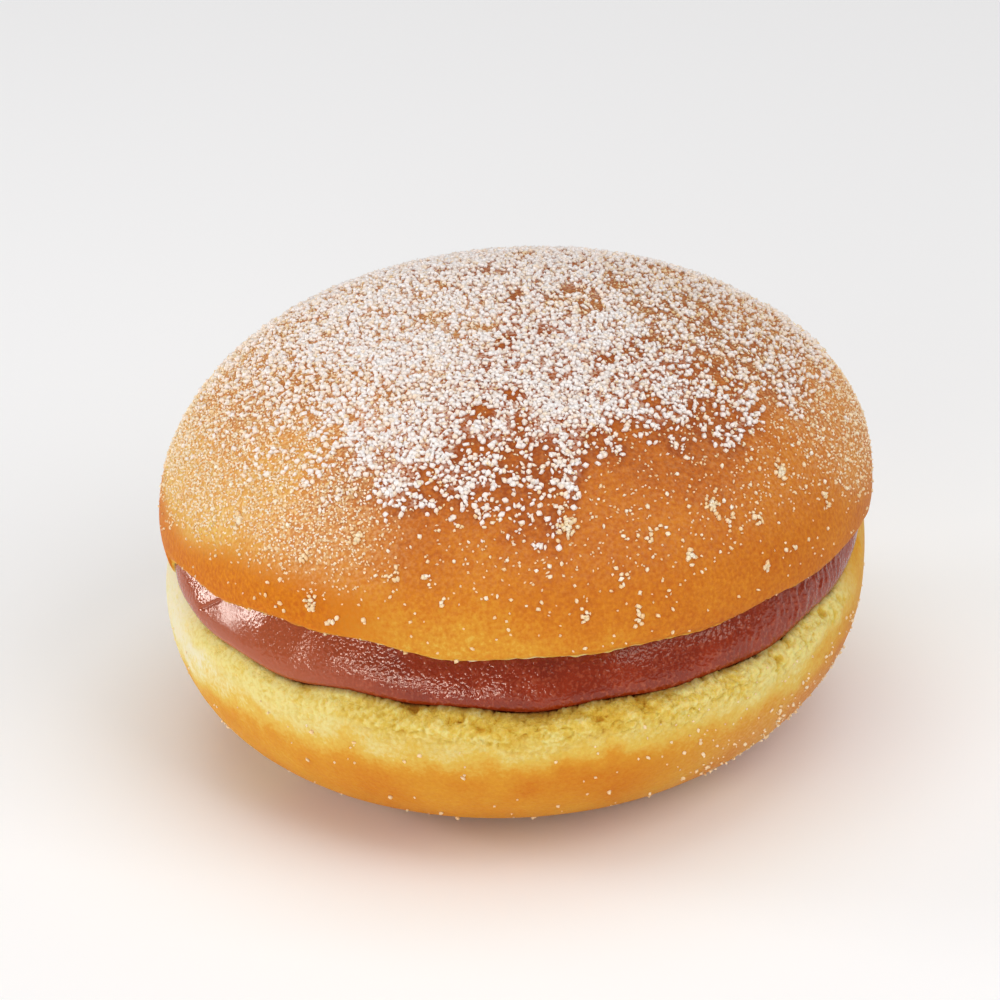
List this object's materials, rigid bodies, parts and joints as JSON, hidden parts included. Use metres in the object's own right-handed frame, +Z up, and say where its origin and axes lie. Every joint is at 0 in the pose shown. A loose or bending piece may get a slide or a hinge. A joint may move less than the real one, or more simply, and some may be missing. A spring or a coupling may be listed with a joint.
{
  "type": "filled berliner doughnut",
  "caption": "Round fried doughnut, slit open along its front collar, filled with chocolate cream and strewn with sugar over the dome.",
  "frame": {"origin": "middle of the flat spot that the doughnut rests on", "axes": "+Z up from the resting spot to the crown, -Y towards the front of the slit, +X to the right of someone who faces the slit"},
  "size_m": [0.0946, 0.0955, 0.0595],
  "materials": {
    "dough": "golden brown fried crust, pale torn crumb at the slit, sugar on the dome",
    "chocolate_cream": "soft glossy chocolate cream"
  },
  "bodies": {
    "root": {"dough": "dough", "chocolate_cream": "chocolate_cream"}
  },
  "joints": []
}
